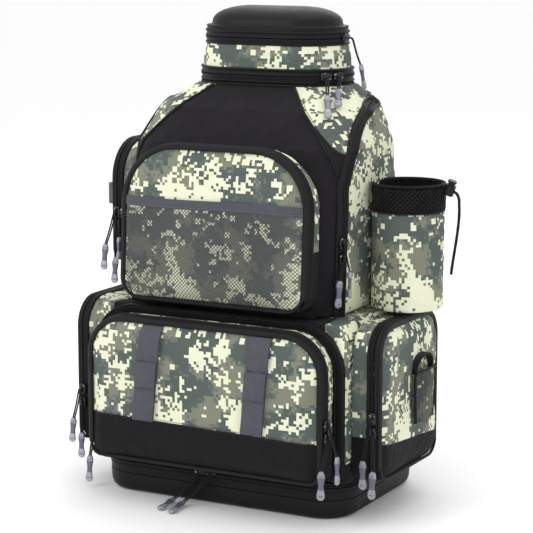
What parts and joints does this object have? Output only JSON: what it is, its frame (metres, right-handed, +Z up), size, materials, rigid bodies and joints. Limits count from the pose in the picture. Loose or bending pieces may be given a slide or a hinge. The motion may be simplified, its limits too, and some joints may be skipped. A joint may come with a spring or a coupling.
{
  "type": "tackle backpack",
  "caption": "Tackle backpack with a moulded base tray, camo fabric pockets with zipped flaps, a bottle sleeve and a moulded case on top.",
  "frame": {"origin": "centre of the base tray's underside, on the surface the pack stands on", "axes": "+Z up, -Y the pack's front with the big pocket, +X the bottle sleeve's side"},
  "size_m": [0.414, 0.3053, 0.52],
  "materials": {
    "black_fabric": "matte",
    "camo_fabric": "matte",
    "moulded_shell": "matte",
    "grey_webbing": "matte",
    "black_webbing": "matte",
    "grey_mesh": "matte",
    "black_mesh": "matte",
    "spacer_mesh": "matte",
    "stiffener": "satin",
    "moulded_plastic": "satin",
    "cord": "matte",
    "zip_tape": "satin",
    "zip_pull": "satin"
  },
  "bodies": {
    "base": {"base_tray": "moulded_shell", "base_zip_tape": "zip_tape"},
    "base_slider_left": {"base_slider_left": "zip_pull"},
    "base_slider_right": {"base_slider_right": "zip_pull"},
    "pack": {"lower_shell": "camo_fabric", "rear_shell": "camo_fabric", "divider_shelf": "black_fabric", "frame_sheet": "stiffener", "pack_zip_tapes": "zip_tape", "side_pocket_right": "camo_fabric", "side_pocket_left": "camo_fabric", "upper_side_pocket": "camo_fabric", "bottle_sleeve": "camo_fabric", "bottle_collar": "black_mesh", "cord_lock": "moulded_plastic", "drawcord_tail": "cord", "back_pad": "spacer_mesh", "shoulder_straps": "spacer_mesh", "ladder_locks": "moulded_plastic", "carry_handle": "black_webbing"},
    "tray_door": {"tray_door": "black_fabric", "door_pocket_gusset": "camo_fabric", "door_zip_tapes": "zip_tape"},
    "door_slider": {"door_slider": "zip_pull"},
    "front_flap": {"front_flap": "camo_fabric", "webbing_straps": "grey_webbing", "flap_zip_tape": "zip_tape"},
    "flap_slider_upper": {"flap_slider_upper": "zip_pull"},
    "flap_slider_lower": {"flap_slider_lower": "zip_pull"},
    "front_panel": {"front_panel": "black_fabric", "upper_pocket_gusset": "camo_fabric", "front_zip_tapes": "zip_tape"},
    "main_slider_upper": {"main_slider_upper": "zip_pull"},
    "main_slider_lower": {"main_slider_lower": "zip_pull"},
    "upper_flap": {"upper_flap": "camo_fabric", "mesh_pocket": "grey_mesh", "upper_flap_zip_tape": "zip_tape"},
    "upper_pocket_slider": {"upper_pocket_slider": "zip_pull"},
    "case": {"case_body": "camo_fabric", "case_zip_tapes": "zip_tape"},
    "case_slider_front": {"case_slider_front": "zip_pull"},
    "case_slider_rear": {"case_slider_rear": "zip_pull"},
    "case_dome": {"case_dome": "moulded_shell", "dome_zip_tape": "zip_tape"},
    "dome_slider": {"dome_slider": "zip_pull"},
    "side_flap_right": {"side_flap_right": "camo_fabric", "side_zip_tape_right": "zip_tape", "plier_sheath": "black_fabric"},
    "side_slider_right_upper": {"side_slider_right_upper": "zip_pull"},
    "side_slider_right_lower": {"side_slider_right_lower": "zip_pull"},
    "side_flap_left": {"side_flap_left": "camo_fabric", "side_zip_tape_left": "zip_tape"},
    "side_slider_left_upper": {"side_slider_left_upper": "zip_pull"},
    "side_slider_left_lower": {"side_slider_left_lower": "zip_pull"},
    "upper_side_flap": {"upper_side_flap": "camo_fabric", "upper_side_zip_tape": "zip_tape", "rod_loop": "grey_webbing"},
    "upper_side_slider_upper": {"upper_side_slider_upper": "zip_pull"},
    "upper_side_slider_lower": {"upper_side_slider_lower": "zip_pull"},
    "cord_lock_button": {"cord_lock_button": "moulded_plastic"}
  },
  "joints": [
    {"name": "base_hinge", "type": "hinge", "parent": "base", "child": "pack", "pos_m": [0, 0.1, 0.035], "axis": [1, 0, 0], "range_deg": [-60, 0]},
    {"name": "tray_door_hinge", "type": "hinge", "parent": "pack", "child": "tray_door", "pos_m": [0, -0.106, 0.044], "axis": [1, 0, 0], "range_deg": [0, 65]},
    {"name": "front_flap_hinge", "type": "hinge", "parent": "tray_door", "child": "front_flap", "pos_m": [0, -0.1244, 0.045], "axis": [-1, 0, 0], "range_deg": [-85, 0]},
    {"name": "front_panel_hinge", "type": "hinge", "parent": "pack", "child": "front_panel", "pos_m": [0, -0.1, 0.208], "axis": [1, 0, 0], "range_deg": [0, 55]},
    {"name": "upper_flap_hinge", "type": "hinge", "parent": "front_panel", "child": "upper_flap", "pos_m": [0, -0.1052, 0.2138], "axis": [-1, 0, 0], "range_deg": [-90, 0]},
    {"name": "case_hinge", "type": "hinge", "parent": "front_panel", "child": "case", "pos_m": [0, 0.0905, 0.4488], "axis": [-1, 0, 0], "range_deg": [0, 95]},
    {"name": "dome_hinge", "type": "hinge", "parent": "case", "child": "case_dome", "pos_m": [0, 0.0905, 0.4878], "axis": [-1, 0, 0], "range_deg": [0, 105]},
    {"name": "side_flap_right_hinge", "type": "hinge", "parent": "pack", "child": "side_flap_right", "pos_m": [0.1752, -0.011, 0.042], "axis": [0, 1, 0], "range_deg": [0, 75]},
    {"name": "side_flap_left_hinge", "type": "hinge", "parent": "pack", "child": "side_flap_left", "pos_m": [-0.1752, -0.011, 0.042], "axis": [0, -1, 0], "range_deg": [0, 75]},
    {"name": "upper_side_flap_hinge", "type": "hinge", "parent": "pack", "child": "upper_side_flap", "pos_m": [-0.1522, 0.007, 0.24], "axis": [0, -1, 0], "range_deg": [0, 75]},
    {"name": "base_slider_left_slide", "type": "slide", "parent": "base", "child": "base_slider_left", "axis": [1, 0, 0], "range_m": [-0.08, 0]},
    {"name": "base_slider_right_slide", "type": "slide", "parent": "base", "child": "base_slider_right", "axis": [1, 0, 0], "range_m": [0, 0.08]},
    {"name": "door_slider_slide", "type": "slide", "parent": "tray_door", "child": "door_slider", "axis": [0, 0, 1], "range_m": [0, 0.05]},
    {"name": "flap_slider_upper_slide", "type": "slide", "parent": "front_flap", "child": "flap_slider_upper", "axis": [0, 0, 1], "range_m": [0, 0.04]},
    {"name": "flap_slider_lower_slide", "type": "slide", "parent": "front_flap", "child": "flap_slider_lower", "axis": [0, 0, 1], "range_m": [-0.02, 0]},
    {"name": "main_slider_upper_slide", "type": "slide", "parent": "pack", "child": "main_slider_upper", "axis": [0, 0.008, 1], "range_m": [0, 0.03]},
    {"name": "main_slider_lower_slide", "type": "slide", "parent": "pack", "child": "main_slider_lower", "axis": [0, 0.008, 1], "range_m": [-0.005, 0]},
    {"name": "upper_pocket_slider_slide", "type": "slide", "parent": "front_panel", "child": "upper_pocket_slider", "axis": [0, 0.061, 0.9981], "range_m": [-0.03, 0.008]},
    {"name": "case_slider_front_turn", "type": "hinge", "parent": "front_panel", "child": "case_slider_front", "pos_m": [0.032, 0.038, 0.4488], "axis": [0, 0, 1], "range_deg": [-45, 0]},
    {"name": "case_slider_rear_turn", "type": "hinge", "parent": "front_panel", "child": "case_slider_rear", "pos_m": [0.032, 0.038, 0.4488], "axis": [0, 0, 1], "range_deg": [0, 14]},
    {"name": "dome_slider_turn", "type": "hinge", "parent": "case", "child": "dome_slider", "pos_m": [0.032, 0.038, 0.4878], "axis": [0, 0, 1], "range_deg": [-8, 50]},
    {"name": "side_slider_right_upper_slide", "type": "slide", "parent": "pack", "child": "side_slider_right_upper", "axis": [0, 0, 1], "range_m": [0, 0.04]},
    {"name": "side_slider_right_lower_slide", "type": "slide", "parent": "pack", "child": "side_slider_right_lower", "axis": [0, 0, 1], "range_m": [-0.02, 0]},
    {"name": "side_slider_left_upper_slide", "type": "slide", "parent": "pack", "child": "side_slider_left_upper", "axis": [0, 0, 1], "range_m": [0, 0.04]},
    {"name": "side_slider_left_lower_slide", "type": "slide", "parent": "pack", "child": "side_slider_left_lower", "axis": [0, 0, 1], "range_m": [-0.015, 0]},
    {"name": "upper_side_slider_upper_slide", "type": "slide", "parent": "pack", "child": "upper_side_slider_upper", "axis": [0, 0, 1], "range_m": [0, 0.025]},
    {"name": "upper_side_slider_lower_slide", "type": "slide", "parent": "pack", "child": "upper_side_slider_lower", "axis": [0, 0, 1], "range_m": [-0.005, 0]},
    {"name": "cord_lock_button_press", "type": "slide", "parent": "pack", "child": "cord_lock_button", "axis": [0.342, 0, 0.9397], "range_m": [-0.0022, 0], "stiffness_N_per_m": 600}
  ]
}
